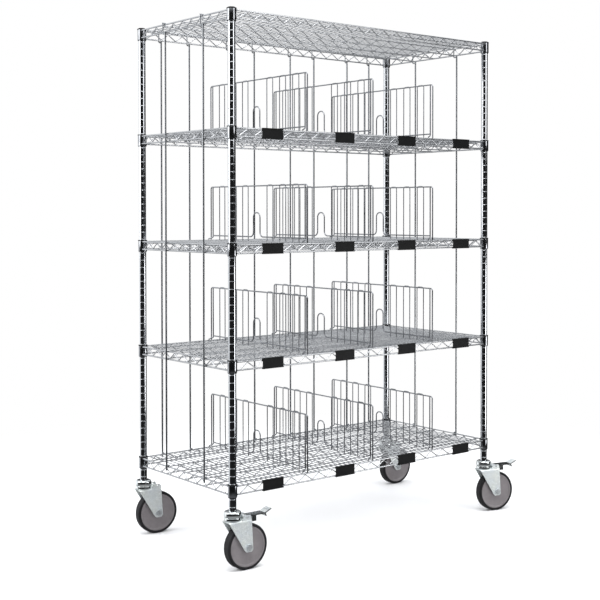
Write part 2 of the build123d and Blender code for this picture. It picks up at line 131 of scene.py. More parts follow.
def tube(path: np.ndarray, radius: float, sides: int = 12) -> Surface:
    """Carries a circle along a flat path.

    Each ring lies at a path point, and its place is point + radius * (cos a * n + sin a * b),
    where b is the path plane's normal and n is b crossed with the path's direction there.

    Args:
        path: the points that the wire's axis follows, all in one plane.
        radius: the wire's radius.
        sides: points round the wire.

    Returns:
        A tube closed by a flat cap at each end.
    """
    steps = np.diff(path, axis=0)
    steps /= np.linalg.norm(steps, axis=1, keepdims=True)
    along = np.concatenate([steps[:1], steps[:-1] + steps[1:], steps[-1:]])
    along /= np.linalg.norm(along, axis=1, keepdims=True)
    turns = np.cross(steps[:-1], steps[1:])
    sizes = np.linalg.norm(turns, axis=1) if len(turns) else np.zeros(1)
    if sizes.max() > STRAIGHT:
        normal = turns[sizes.argmax()]
    else:
        normal = np.cross(along[0], np.eye(3)[np.abs(along[0]).argmin()])
    normal = normal / np.linalg.norm(normal)
    outward = np.cross(normal, along)
    # a mitred ring at a bend is stretched so that the wire keeps its thickness
    mitre = np.ones(len(path))
    if len(steps) > 1:
        mitre[1:-1] = 1 / np.sqrt((1 + np.einsum("ij,ij->i", steps[:-1], steps[1:])) / 2)
    angle = np.linspace(0, 2 * np.pi, sides, endpoint=False)
    rings = (
        path[:, None, :]
        + radius * np.cos(angle)[None, :, None] * (outward * mitre[:, None])[:, None, :]
        + radius * np.sin(angle)[None, :, None] * normal[None, None, :]
    )
    last = (len(path) - 1) * sides
    caps = [list(range(sides))[::-1], list(range(last, last + sides))]
    return Surface(rings.reshape(-1, 3), grid_faces(len(path), sides, False), caps)


def bent_path(corners: Sequence[Sequence[float]], bend_r: float, steps: int = 6) -> np.ndarray:
    """Rounds the corners of a run of straight stretches with arcs.

    An arc's points turn from the first tangent point to the second about the bend's centre, as
    centre + (sin((1-s)w) * v0 + sin(s*w) * v1) / sin(w), for s from 0 to 1 and a turn of w.

    Args:
        corners: the path's corner points.
        bend_r: the radius of every bend.
        steps: points in each arc.

    Returns:
        The path's points.
    """
    p = np.asarray(corners, float)
    if len(p) < 3:
        return p
    back = p[:-2] - p[1:-1]
    ahead = p[2:] - p[1:-1]
    back /= np.linalg.norm(back, axis=1, keepdims=True)
    ahead /= np.linalg.norm(ahead, axis=1, keepdims=True)
    half = np.arccos(np.clip(np.einsum("ij,ij->i", back, ahead), -1, 1)) / 2
    middle = back + ahead
    middle /= np.linalg.norm(middle, axis=1, keepdims=True)
    centre = p[1:-1] + middle * (bend_r / np.sin(half))[:, None]
    reach = (bend_r / np.tan(half))[:, None]
    v0 = p[1:-1] + back * reach - centre
    v1 = p[1:-1] + ahead * reach - centre
    turn = (np.pi - 2 * half)[:, None, None]
    s = np.linspace(0, 1, steps)[None, :, None]
    arcs = (np.sin((1 - s) * turn) * v0[:, None] + np.sin(s * turn) * v1[:, None]) / np.sin(turn)
    return np.concatenate([p[:1], (centre[:, None] + arcs).reshape(-1, 3), p[-1:]])


def turned(
    profile: Sequence[Sequence[float]],
    origin: Sequence[float],
    axis: Sequence[float] = (0, 0, 1),
    segments: int = 64,
    closed: bool = True,
    arc: tuple[float, float] | None = None,
) -> Surface:
    """Turns a profile of (radius, height) points about an axis, as on a lathe.

    A point's place is origin + radius * (cos a * u + sin a * v) + height * axis, for a from 0 to
    a full turn, or over a part of a turn.

    Args:
        profile: radius and height of each profile point.
        origin: where heights start on the axis.
        axis: the axis's direction.
        segments: points round the turn.
        closed: whether the last profile point joins the first; if not, flat discs close both ends.
        arc: the first and last angle of a part turn, whose two cut faces are closed.

    Returns:
        The turned surface.
    """
    w = np.asarray(axis, float)
    w /= np.linalg.norm(w)
    u = np.cross(w, np.eye(3)[np.abs(w).argmin()])
    u /= np.linalg.norm(u)
    v = np.cross(w, u)
    points = np.asarray(profile, float)
    if arc is None:
        angle = np.linspace(0, 2 * np.pi, segments, endpoint=False)
    else:
        angle = np.linspace(arc[0], arc[1], segments)
        u, v = np.array([1.0, 0, 0]), np.array([0, 1.0, 0])
    around = np.cos(angle)[:, None] * u + np.sin(angle)[:, None] * v
    at = (np.asarray(origin, float) + points[:, None, 0:1] * around[None]
          + points[:, None, 1:2] * w)
    if arc is not None:
        # rings run round the profile here, so a grid of profile rings closes on itself
        rings = at.transpose(1, 0, 2).reshape(-1, 3)
        count = len(points)
        last = (segments - 1) * count
        caps = [list(range(count))[::-1], list(range(last, last + count))]
        return Surface(rings, grid_faces(segments, count, False), caps)
    last = (len(points) - 1) * segments
    caps = [] if closed else [list(range(segments))[::-1], list(range(last, last + segments))]
    return Surface(at.reshape(-1, 3), grid_faces(len(points), segments, closed), caps)


def rounded_profile(
    corners: Sequence[Sequence[float]], radius: float, steps: int = 5
) -> np.ndarray:
    """Rounds every corner of a closed profile by cutting it back and putting in a curve.

    The curve from cut a to cut b past corner p is (1-s)^2 a + 2 s (1-s) p + s^2 b, for s from 0
    to 1.

    Args:
        corners: radius and height of each corner, in order.
        radius: the rounding, cut to a third of the shorter side beside each corner.
        steps: points in each arc.

    Returns:
        The profile's points.
    """
    p = np.asarray(corners, float)
    before, after = np.roll(p, 1, axis=0) - p, np.roll(p, -1, axis=0) - p
    la = np.linalg.norm(before, axis=1, keepdims=True)
    lb = np.linalg.norm(after, axis=1, keepdims=True)
    cut = np.minimum(radius, np.minimum(la, lb) / 3)
    a, b = p + before / la * cut, p + after / lb * cut
    s = np.linspace(0, 1, steps)[None, :, None]
    curve = (1 - s) ** 2 * a[:, None] + 2 * s * (1 - s) * p[:, None] + s**2 * b[:, None]
    return curve.reshape(-1, 2)


# ---------------------------------------------------------------- finishes


def linear(colour: str) -> tuple[float, float, float, float]:
    """Turns an sRGB hex colour into linear light.

    Args:
        colour: six hex digits.

    Returns:
        Red, green, blue and a full alpha.
    """
    parts = [int(colour[n : n + 2], 16) / 255 for n in (0, 2, 4)]
    r, g, b = (c / 12.92 if c <= 0.04045 else ((c + 0.055) / 1.055) ** 2.4 for c in parts)
    return r, g, b, 1.0


def add_node(
    tree: bpy.types.NodeTree, kind: str, inputs: dict | None = None, **settings: object
) -> bpy.types.Node:
    """Adds a node, sets it and links its inputs.

    Args:
        tree: the node tree.
        kind: Blender's name for the node.
        inputs: a value or another node's output socket for each input, by name or number.
        settings: attributes of the node itself.

    Returns:
        The new node.
    """
    node = tree.nodes.new(kind)
    for name, value in settings.items():
        setattr(node, name, value)
    for name, value in (inputs or {}).items():
        if isinstance(value, bpy.types.NodeSocket):
            tree.links.new(value, node.inputs[name])
        else:
            node.inputs[name].default_value = value
    return node


class Pattern(Enum):
    """How a surface's small pattern runs."""

    DRAWN_UP = (1.0, 1.0, 0.03)
    EVEN = (1.0, 1.0, 1.0)


# The stretch of a noise texture's values that each use spreads over its whole range.
PATCH_SPREAD = (0.35, 0.65)
GRAIN_SPREAD = (0.3, 0.7)
# The pointiness at which an edge starts to wear and is fully worn.
EDGE_SPREAD = (0.52, 0.60)
LOWEST_ROUGHNESS = 0.02


@dataclass(frozen=True)
class Finish:
    """A metal, plastic or rubber surface: its colours, gloss, mirroring, grain and wear.

    The colour drifts between two hex values in patches, roughness drifts round its middle, and a
    grain of a real size in millimetres lifts the surface.
    """

    name: str
    colour: str
    second_colour: str
    metallic: float
    roughness: float
    roughness_drift: float
    grain_mm: float
    grain_lift: float
    patch_mm: float
    pattern: Pattern = Pattern.EVEN
    edge_wear: float = 0.0
    wear_colour: str = "FFFFFF"
    specular: float = 0.5

    def build(self) -> bpy.types.Material:
        """Makes the material's nodes.

        Returns:
            The material.
        """
        material = bpy.data.materials.new(self.name)
        material.use_nodes = True
        tree = material.node_tree
        shader = tree.nodes["Principled BSDF"]
        shader.inputs["Metallic"].default_value = self.metallic
        shader.inputs["Specular IOR Level"].default_value = self.specular
        place = add_node(tree, "ShaderNodeTexCoord").outputs["Object"]
        stretched = add_node(
            tree, "ShaderNodeMapping", {"Vector": place, "Scale": self.pattern.value}
        ).outputs["Vector"]
        patches = add_node(
            tree, "ShaderNodeTexNoise",
            {"Vector": stretched, "Scale": 1 / (self.patch_mm * MM), "Detail": 5.0,
             "Roughness": 0.6},
        ).outputs["Fac"]
        grain = add_node(
            tree, "ShaderNodeTexNoise",
            {"Vector": stretched, "Scale": 1 / (self.grain_mm * MM), "Detail": 3.0},
        ).outputs["Fac"]
        share = add_node(
            tree, "ShaderNodeMapRange",
            {"Value": patches, "From Min": PATCH_SPREAD[0], "From Max": PATCH_SPREAD[1]},
        ).outputs["Result"]
        colour = add_node(
            tree, "ShaderNodeMix",
            {0: share, 6: linear(self.colour), 7: linear(self.second_colour)}, data_type="RGBA",
        ).outputs[2]
        if self.edge_wear:
            point = add_node(tree, "ShaderNodeNewGeometry").outputs["Pointiness"]
            worn = add_node(
                tree, "ShaderNodeMapRange",
                {"Value": point, "From Min": EDGE_SPREAD[0], "From Max": EDGE_SPREAD[1],
                 "To Max": self.edge_wear},
            ).outputs["Result"]
            colour = add_node(
                tree, "ShaderNodeMix", {0: worn, 6: colour, 7: linear(self.wear_colour)},
                data_type="RGBA",
            ).outputs[2]
        tree.links.new(colour, shader.inputs["Base Color"])
        low = max(LOWEST_ROUGHNESS, self.roughness - self.roughness_drift)
        gloss = add_node(
            tree, "ShaderNodeMapRange",
            {"Value": grain, "From Min": GRAIN_SPREAD[0], "From Max": GRAIN_SPREAD[1],
             "To Min": low, "To Max": self.roughness + self.roughness_drift},
        ).outputs["Result"]
        tree.links.new(gloss, shader.inputs["Roughness"])
        lift = add_node(
            tree, "ShaderNodeBump",
            {"Height": grain, "Strength": 0.5, "Distance": self.grain_lift * MM},
        ).outputs["Normal"]
        tree.links.new(lift, shader.inputs["Normal"])
        return material


# Nickel-chrome plate over drawn wire: a mirror, slightly cool, with faint draw lines.
WIRE_CHROME = Finish("chrome_plated_drawn_wire", "B9BABC", "A3A5A8", 1.0, 0.16, 0.06, 1.5, 0.03, 60)
# The dividers' thinner wire carries the same plate as the shelves'. Its colour is painted darker,
# as shade, to offset the bright reflections that the thin upright wires catch.
DIVIDER_CHROME_PAINTED_SHADE = Finish(
    "chrome_plated_divider_wire_painted_shade", "8C8E92", "787A7E", 1.0, 0.11, 0.04, 1.5, 0.03, 60
)
# Polished chrome plate on the tubes: a clean mirror with faint upright polishing lines.
POST_CHROME = Finish(
    "chrome_plated_steel_tube", "C4C6C9", "AEB1B5", 1.0, 0.10, 0.04, 0.8, 0.01, 80, Pattern.DRAWN_UP
)
# Deep-drawn collar with the same plate, a little duller where it was welded.
COLLAR_CHROME = Finish("chrome_plated_collar", "9EA0A3", "808286", 1.0, 0.14, 0.06, 1.2, 0.02, 12)
# Plated drawn rod, darker and more even than the shelf wire.
ROD_STEEL = Finish(
    "plated_drawn_rod", "9A9DA0", "7F8286", 1.0, 0.24, 0.06, 1.0, 0.02, 50, Pattern.DRAWN_UP
)
# Clear-passivated zinc: silvery with a faint green and blue bloom, satin.
ZINC_PLATE = Finish(
    "clear_zinc_plated_steel", "DFE5DE", "CED7DE", 0.50, 0.25, 0.07, 1.2, 0.03, 28,
    edge_wear=0.4, wear_colour="EEF1F2",
)
# The cup and race, turned and polished before the same plate: close to a mirror.
POLISHED_ZINC = Finish(
    "polished_zinc_plated_steel", "DADDDC", "C6CBCD", 1.0, 0.13, 0.04, 0.9, 0.02, 16
)
# Zinc-plated bolt, darker in its recesses.
BOLT_STEEL = Finish("zinc_plated_bolt", "C9CDCF", "B4B8BC", 0.7, 0.28, 0.08, 0.8, 0.02, 8)
# Moulded black polypropylene: a fine matt grain that catches a soft light.
BLACK_PLASTIC = Finish(
    "moulded_black_polypropylene", "060708", "0D0E0F", 0.0, 0.50, 0.10, 0.9, 0.05, 25, specular=0.16
)
# Charcoal thermoplastic rubber tread, matt, with a little floor dust.
TREAD_RUBBER = Finish(
    "moulded_charcoal_rubber", "151416", "201F21", 0.0, 0.62, 0.10, 1.6, 0.12, 22, specular=0.2
)
# Grey moulded wheel core: even warm grey with a slight eggshell gloss.
CORE_PLASTIC = Finish("moulded_grey_polyolefin", "757072", "6C6769", 0.0, 0.42, 0.08, 1.1, 0.04, 30)
# Natural nylon bush, waxy and slightly yellow.
NYLON = Finish("natural_nylon", "E3DFD2", "D8D2C2", 0.0, 0.40, 0.06, 0.8, 0.03, 10)


class Palette:
    """Makes each finish's material once and hands it out."""

    def __init__(self) -> None:
        """Starts with no materials made."""
        self._made: dict[str, bpy.types.Material] = {}

    def __getitem__(self, finish: Finish) -> bpy.types.Material:
        """Gives the material of a finish, made at its first use.

        Args:
            finish: the finish.

        Returns:
            Its material.
        """
        if finish.name not in self._made:
            self._made[finish.name] = finish.build()
        return self._made[finish.name]


PALETTE = Palette()


# ---------------------------------------------------------------- pieces


def make_piece(
    name: str, surfaces: Sequence[Surface], finish: Finish, body: str,
    replaced: str, sharp_deg: float = 40.0,
) -> bpy.types.Object:
    """Puts surfaces into a mesh object that stands for a CAD node and rides on its body.

    Args:
        name: the object's name.
        surfaces: what it is made of.
        finish: its finish.
        body: the CAD body it rides on.
        replaced: the CAD node it stands for.
        sharp_deg: edges sharper than this stay crisp.

    Returns:
        The new object.
    """
    whole = joined(surfaces)
    mesh = bpy.data.meshes.new(name)
    mesh.from_pydata(whole.verts.tolist(), [], whole.quads.tolist() + whole.caps)
    mesh.polygons.foreach_set("use_smooth", np.ones(len(mesh.polygons), bool))
    mesh.set_sharp_from_angle(angle=math.radians(sharp_deg))
    mesh.materials.append(PALETTE[finish])
    mesh.update()
    piece = bpy.data.objects.new(name, mesh)
    bpy.context.scene.collection.objects.link(piece)
    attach(piece, body)
    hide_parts(replaced)
    LOG.info("%s: %d faces in %s", name, len(mesh.polygons), finish.name)
    return piece


def dress(node: str, finish: Finish) -> None:
    """Gives a CAD node that keeps its own mesh a finish.

    Args:
        node: the CAD node.
        finish: its finish.
    """
    mesh = frame["nodes"][node].data
    mesh.materials.clear()
    mesh.materials.append(PALETTE[finish])
    LOG.info("%s: CAD mesh in %s", node, finish.name)


def middle(node: str) -> np.ndarray:
    """Finds the middle of a CAD node's box.

    Args:
        node: the CAD node.

    Returns:
        The middle's place.
    """
    low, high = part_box(node)
    return np.array((low + high) / 2)


CORNERS = ("front_left", "front_right", "rear_left", "rear_right")
POST_AT = {corner: middle(f"post_{corner}")[:2] for corner in CORNERS}
SHELF_FEET = [float(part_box(f"shelf_{level}")[0].z) for level in range(1, 6)]
SPAN_X = float(POST_AT["front_right"][0] - POST_AT["front_left"][0])
SPAN_Y = float(POST_AT["rear_left"][1] - POST_AT["front_left"][1])
BAY = SPAN_X / 4


@dataclass
class Posts:
    """The four grooved tubes and their caps."""

    diameter: float = 25.4 * MM
    wall: float = 1.6 * MM
    groove_pitch: float = 25.4 * MM
    groove_width: float = 2.2 * MM
    groove_depth: float = 0.3 * MM
    foot_to_groove: float = 13.2 * MM
    cap_thickness: float = 2.5 * MM
    cap_plug: float = 10.0 * MM
    cap_edge: float = 0.5 * MM
    cap_crown: float = 1.5 * MM
    cap_hollow: float = 0.2 * MM
    groove_floor: float = 0.4
    sharp_deg: float = 12.0

    def tube_profile(self, foot: float, top: float) -> np.ndarray:
        """Draws the tube's outer side with its grooves, then its inner side.

        Each groove is a shallow dip: four points at the pitch's multiples, whose radius is the
        tube's outside or the groove's floor.

        Args:
            foot: the tube's lower end.
            top: its upper end.

        Returns:
            The closed profile.
        """
        outer, inner = self.diameter / 2, self.diameter / 2 - self.wall
        count = int((top - foot - self.foot_to_groove) / self.groove_pitch) + 1
        middles = foot + self.foot_to_groove + np.arange(count) * self.groove_pitch
        reach = self.groove_width / 2
        flat = reach * self.groove_floor
        heights = middles[:, None] + np.array([-reach, -flat, flat, reach])
        radii = np.broadcast_to(
            np.array([outer, outer - self.groove_depth, outer - self.groove_depth, outer]),
            heights.shape,
        )
        outside = np.stack([radii.ravel(), heights.ravel()], axis=1)
        return np.concatenate(
            [[(inner, foot), (outer, foot)], outside, [(outer, top), (inner, top)]]
        )

    def build(self) -> None:
        """Builds the posts and the caps."""
        caps = []
        for corner in CORNERS:
            low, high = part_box(f"post_{corner}")
            x, y = POST_AT[corner]
            profile = self.tube_profile(low.z, high.z)
            make_piece(f"grooved_post_{corner}", [turned(profile, (x, y, 0), segments=48)],
                       POST_CHROME, "root", f"post_{corner}", self.sharp_deg)
            outer, inner = self.diameter / 2, self.diameter / 2 - self.wall - SEAT_GAP
            base = high.z
            cap = [
                (self.cap_hollow, base - self.cap_plug), (inner, base - self.cap_plug),
                (inner, base), (outer, base), (outer, base + self.cap_thickness * 0.4),
                (outer - self.cap_edge, base + self.cap_thickness * 0.8),
                (outer - self.cap_crown, base + self.cap_thickness),
                (self.cap_hollow, base + self.cap_thickness),
            ]
            caps.append(turned(cap, (x, y, 0), segments=40, closed=False))
        make_piece("domed_post_caps", caps, BLACK_PLASTIC, "root", "post_caps")


@dataclass
class Sleeves:
    """The tapered halves that seat every shelf corner on its post."""

    lip_diameter: float = 33.4 * MM
    bore: float = 25.5 * MM
    head_radius: float = 14.05 * MM
    foot_radius: float = 14.65 * MM
    drop: float = 2.0 * MM
    collar_height: float = 38.0 * MM
    lip_height: float = 3.0 * MM
    split: float = 1.0 * MM
    lip_chamfer: float = 0.8 * MM

    def build(self) -> None:
        """Builds the halves, each turned over almost half a turn about its post."""
        halves = []
        bore, top = self.bore / 2, self.collar_height + self.lip_height
        lip = self.lip_diameter / 2
        profile = [
            (bore, -self.drop), (self.foot_radius, -self.drop),
            (self.head_radius, self.collar_height + SEAT_GAP),
            (lip, self.collar_height + SEAT_GAP), (lip, top - self.lip_chamfer),
            (lip - self.lip_chamfer, top), (bore, top),
        ]
        margin = self.split / self.bore
        for foot in SHELF_FEET:
            for corner in CORNERS:
                x, y = POST_AT[corner]
                for start in (math.pi / 4, math.pi * 5 / 4):
                    arc = (start + margin, start + math.pi - margin)
                    halves.append(turned(profile, (x, y, foot), segments=22, arc=arc))
        make_piece("split_taper_sleeves", halves, BLACK_PLASTIC, "root",
                   "split_sleeves")


@dataclass
class Shelf:
    """A welded wire shelf: collars, rails, truss wires, support wires and deck wires."""

    collar_diameter: float = 31.6 * MM
    collar_height: float = 38.0 * MM
    collar_bore_head: float = 28.2 * MM
    collar_bore_foot: float = 29.3 * MM
    rail_radius: float = 2.75 * MM
    rail_offset: float = 7.75 * MM
    rail_low: float = 7.5 * MM
    rail_high: float = 34.5 * MM
    snake_radius: float = 1.9 * MM
    snake_bend: float = 5.0 * MM
    wave_long: float = 30.0 * MM
    wave_short: float = 28.5 * MM
    deck_radius: float = 1.7 * MM
    deck_pitch: float = 20.3 * MM
    deck_high: float = 34.3 * MM
    support_radius: float = 2.4 * MM
    support_edge: float = 55.0 * MM
    support_count: int = 5
    truss_count: int = 3
    weld: float = 0.45 * MM
    collar_rounding: float = 0.7 * MM
    collar_bite: float = 0.85 * MM
    rail_sides: int = 16

    @property
    def rail_x(self) -> float:
        """How far out the end rails lie."""
        return SPAN_X / 2 + self.rail_offset

    @property
    def rail_y(self) -> float:
        """How far out the long rails lie."""
        return SPAN_Y / 2 + self.rail_offset

    def collars(self, foot: float) -> list[Surface]:
        """Makes the four tapered collars at one level.

        Args:
            foot: the height of the shelf's feet.

        Returns:
            The collars.
        """
        outer = self.collar_diameter / 2
        corners = [
            (self.collar_bore_foot / 2, 0), (outer, 0), (outer, self.collar_height),
            (self.collar_bore_head / 2, self.collar_height),
        ]
        profile = rounded_profile(corners, self.collar_rounding, 4)
        return [turned(profile, (*POST_AT[corner], foot), segments=48) for corner in CORNERS]

    def straight(self, axis: int, half: float, across: float, height: float, radius: float,
                 sides: int = 12) -> Surface:
        """Makes a straight level wire, centred on the shelf.

        Args:
            axis: 0 along X, 1 along Y.
            half: half its length.
            across: its place on the other level axis.
            height: its axis's height.
            radius: its radius.
            sides: points round it.

        Returns:
            The wire.
        """
        ends = np.full((2, 3), height)
        ends[:, axis] = -half, half
        ends[:, 1 - axis] = across
        return tube(ends, radius, sides)

    def truss(self, axis: int, span: float, wave: float, across: float, low: float, high: float,
              low_radius: float, high_radius: float) -> Surface:
        """Makes a truss wire, which zigzags between two wires and touches both at its bends.

        Corner n lies (n - halves / 2) * wave along the axis, by turns at the bottom and the top,
        each moved out by what its rounded bend cuts off.

        Args:
            axis: 0 along X, 1 along Y.
            span: the post span that it stays inside.
            wave: half a wave's length.
            across: its place on the other level axis.
            low: the lower wire's height.
            high: the upper wire's height.
            low_radius: the lower wire's radius.
            high_radius: the upper wire's radius.

        Returns:
            The truss wire.
        """
        halves = 2 * int((span / 2 - self.collar_diameter / 2) / wave)
        room = (high - high_radius) - (low + low_radius) - 2 * self.snake_radius + 2 * self.weld
        overshoot = self.snake_bend * (math.hypot(wave, room) / wave - 1)
        bottom = low + low_radius + self.snake_radius - self.weld - overshoot
        top = high - high_radius - self.snake_radius + self.weld + overshoot
        steps = np.arange(halves + 1)
        corners = np.zeros((halves + 1, 3))
        corners[:, axis] = (steps - halves / 2) * wave
        corners[:, 1 - axis] = across
        corners[:, 2] = np.where(steps % 2, top, bottom)
        return tube(bent_path(corners, self.snake_bend, 5), self.snake_radius, 10)

    def wires(self, foot: float) -> list[Surface]:
        """Makes every wire of a shelf.

        Args:
            foot: the height of the shelf's feet.

        Returns:
            The rails, truss wires, deck wires and support wires.
        """
        low, high = foot + self.rail_low, foot + self.rail_high
        inside = self.collar_diameter / 2 - self.collar_bite
        stop = math.sqrt(inside**2 - (self.rail_offset - self.rail_radius) ** 2)
        made = []
        for side in (-1, 1):
            for height in (low, high):
                made.append(self.straight(0, SPAN_X / 2 - stop, side * self.rail_y, height,
                                          self.rail_radius, self.rail_sides))
                made.append(self.straight(1, SPAN_Y / 2 - stop, side * self.rail_x, height,
                                          self.rail_radius, self.rail_sides))
            made.append(self.truss(0, SPAN_X, self.wave_long, side * self.rail_y, low, high,
                                   self.rail_radius, self.rail_radius))
            made.append(self.truss(1, SPAN_Y, self.wave_short, side * self.rail_x, low, high,
                                   self.rail_radius, self.rail_radius))
        deck_half = SPAN_X / 2 - self.collar_diameter / 2 - 2 * self.deck_radius
        count = int(deck_half / self.deck_pitch)
        for n in range(-count, count + 1):
            made.append(self.straight(1, self.rail_y, n * self.deck_pitch, foot + self.deck_high,
                                      self.deck_radius))
        pitch = 2 * (self.rail_y - self.support_edge) / (self.support_count - 1)
        support_high = (foot + self.deck_high - self.deck_radius - self.support_radius
                        + self.weld / 2)
        edge = (self.support_count - 1) / 2
        for n in range(self.support_count):
            across = (n - edge) * pitch
            made.append(self.straight(0, self.rail_x, across, support_high, self.support_radius))
            if abs(n - edge) <= (self.truss_count - 1) / 2:
                made.append(self.straight(0, self.rail_x, across, low, self.support_radius))
                made.append(self.truss(0, SPAN_X, self.wave_long, across, low, support_high,
                                       self.support_radius, self.support_radius))
        return made

    def build(self) -> None:
        """Builds the five shelves, each a piece of its own with its collars."""
        for level, foot in enumerate(SHELF_FEET, 1):
            make_piece(f"wire_shelf_{level}", self.wires(foot), WIRE_CHROME, "root",
                       f"shelf_{level}")
            make_piece(f"shelf_collars_{level}", self.collars(foot), COLLAR_CHROME, "root",
                       f"shelf_{level}")


@dataclass
class Dividers:
    """The bent-wire dividers on the four lower shelves."""

    frame_radius: float = 2.3 * MM
    pin_radius: float = 1.8 * MM
    bend: float = 9.0 * MM
    height: float = 204.0 * MM
    rest: float = 0.2 * MM
    base_rise: float = 13.0 * MM
    loop_half: float = 20.0 * MM
    loop_bend: float = 18.0 * MM
    loop_height: float = 100.0 * MM
    leg_inset: float = 10.0 * MM
    overhang: float = 3.0 * MM
    foot_reach: float = 17.0 * MM
    hairpins: int = 3
    hairpin_width: float = 35.0 * MM
    weld: float = 0.45 * MM

    def wires(self, shelf: Shelf, x: float, foot: float) -> list[Surface]:
        """Makes one divider's wires.

        Args:
            shelf: the shelf's sizes.
            x: where the divider's frame stands.
            foot: the height of the shelf's feet.

        Returns:
            The frame, the base wire with its loop, the hairpins and the two end legs.
        """
        r = self.frame_radius
        frame_y, leg_y = shelf.rail_y + self.overhang, shelf.rail_y - self.leg_inset
        foot_z = foot + shelf.rail_high + shelf.rail_radius + self.rest
        base, top = foot_z + r, foot + shelf.rail_high + self.height - r
        pin_x = x + r + self.pin_radius - self.weld
        outline = [(x, -frame_y, foot_z), (x, -frame_y, top), (x, frame_y, top),
                   (x, frame_y, foot_z)]
        bar, loop = base + self.base_rise, base + self.loop_height
        half = self.loop_half
        base_wire = [(x, -leg_y, bar), (x, -half, bar), (x, -half, loop), (x, half, loop),
                     (x, half, bar), (x, leg_y, bar)]
        made = [
            tube(bent_path(outline, self.bend, 8), r, 14),
            tube(bent_path(base_wire, self.loop_bend, 10), r, 12),
        ]
        pitch = leg_y / (self.hairpins + 0.75)
        for side in (-1, 1):
            leg = [(x, side * leg_y, top), (x, side * leg_y, base + 3 * r),
                   (x - self.foot_reach, side * (shelf.rail_y - r), base)]
            made.append(tube(bent_path(leg, 2 * r, 8), r, 12))
            for n in range(1, self.hairpins + 1):
                a = side * n * pitch - self.hairpin_width / 2
                b = a + self.hairpin_width
                pin = [(pin_x, a, foot_z), (pin_x, a, top + r), (pin_x, b, top + r),
                       (pin_x, b, foot_z)]
                made.append(tube(bent_path(pin, self.bend, 7), self.pin_radius, 10))
        return made

    def build(self, shelf: Shelf) -> None:
        """Builds the twelve dividers.

        Args:
            shelf: the shelf's sizes.
        """
        reach = 2 * self.frame_radius + self.pin_radius - self.weld
        for level, foot in enumerate(SHELF_FEET[:-1], 1):
            for place in ("left", "middle", "right"):
                node = f"divider_{level}_{place}"
                x = float(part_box(node)[1].x) - reach
                # the dividers take the copy of the chrome that is painted darker as shade
                make_piece(f"wire_{node}", self.wires(shelf, x, foot), DIVIDER_CHROME_PAINTED_SHADE, "root",
                           node)


@dataclass
class Rods:
    """The upright rods on the back and both ends, hooked over two shelves' rails."""

    radius: float = 3.175 * MM
    gap: float = 0.3 * MM
    hook_radius: float = 2.25 * MM
    back_step: float = 10.0 * MM
    end_step: float = 16.0 * MM
    end_slides: tuple[float, float] = (-19.0 * MM, 0.0)
    back_half: float = 60.5 * MM
    end_half: float = 120.0 * MM
    foot_drop: float = 12.0 * MM
    rest: float = 0.2 * MM
    chamfer: float = 0.8 * MM
    tip_share: float = 0.98

    def rod(self, shelf: Shelf, at: tuple[float, float], inward: tuple[float, float],
            step: tuple[float, float]) -> list[Surface]:
        """Makes one rod with its two hooks.

        Args:
            shelf: the shelf's sizes.
            at: the rod's place.
            inward: the level direction towards the shelf.
            step: how far the upper hook steps aside.

        Returns:
            The rod, its lower hook and its upper hook.
        """
        here, into, beside = (np.array([*v, 0.0]) for v in (at, inward, step))
        up = np.array([0, 0, 1.0])
        low = SHELF_FEET[0] + shelf.rail_high - self.foot_drop
        high = SHELF_FEET[-1] + shelf.rail_low
        rest = shelf.rail_high + shelf.rail_radius + self.hook_radius + self.rest
        reach = shelf.rail_radius + self.gap + self.radius + 2 * shelf.rail_radius
        profile = [
            (self.radius - self.chamfer, low), (self.radius, low + self.chamfer),
            (self.radius, high - self.chamfer), (self.radius - self.chamfer, high),
        ]
        low_hook = np.array([here + up * (SHELF_FEET[0] + rest)] * 2)
        low_hook[1] += into * reach
        lead = high - 2 * self.radius
        top = SHELF_FEET[-1] + rest
        shank = np.array([here + up * lead, here + beside + up * lead, here + beside + up * top])
        return [
            turned(profile, here, segments=16, closed=False),
            tube(low_hook, self.hook_radius, 12),
            tube(bent_path(shank, 2 * self.hook_radius, 7), self.hook_radius, 12),
            tube(np.array([shank[2] - into * self.hook_radius, shank[2] + into * reach]),
                 self.hook_radius * self.tip_share, 12),
        ]

    def build(self, shelf: Shelf) -> None:
        """Builds the back rods and the end rods.

        Args:
            shelf: the shelf's sizes.
        """
        out = shelf.rail_radius + self.gap + self.radius
        back = []
        for n in range(4):
            for side in (-1, 1):
                x = (n - 1.5) * BAY + side * self.back_half
                back += self.rod(shelf, (x, shelf.rail_y + out), (0, -1), (-self.back_step, 0))
        make_piece("hooked_back_rods", back, ROD_STEEL, "root", "back_rods")
        ends = []
        for end, slide in zip((-1, 1), self.end_slides):
            for side in (-1, 1):
                at = (end * (shelf.rail_x + out), side * self.end_half + slide)
                ends += self.rod(shelf, at, (-end, 0), (0, self.end_step))
        make_piece("hooked_end_rods", ends, ROD_STEEL, "root", "side_rods")


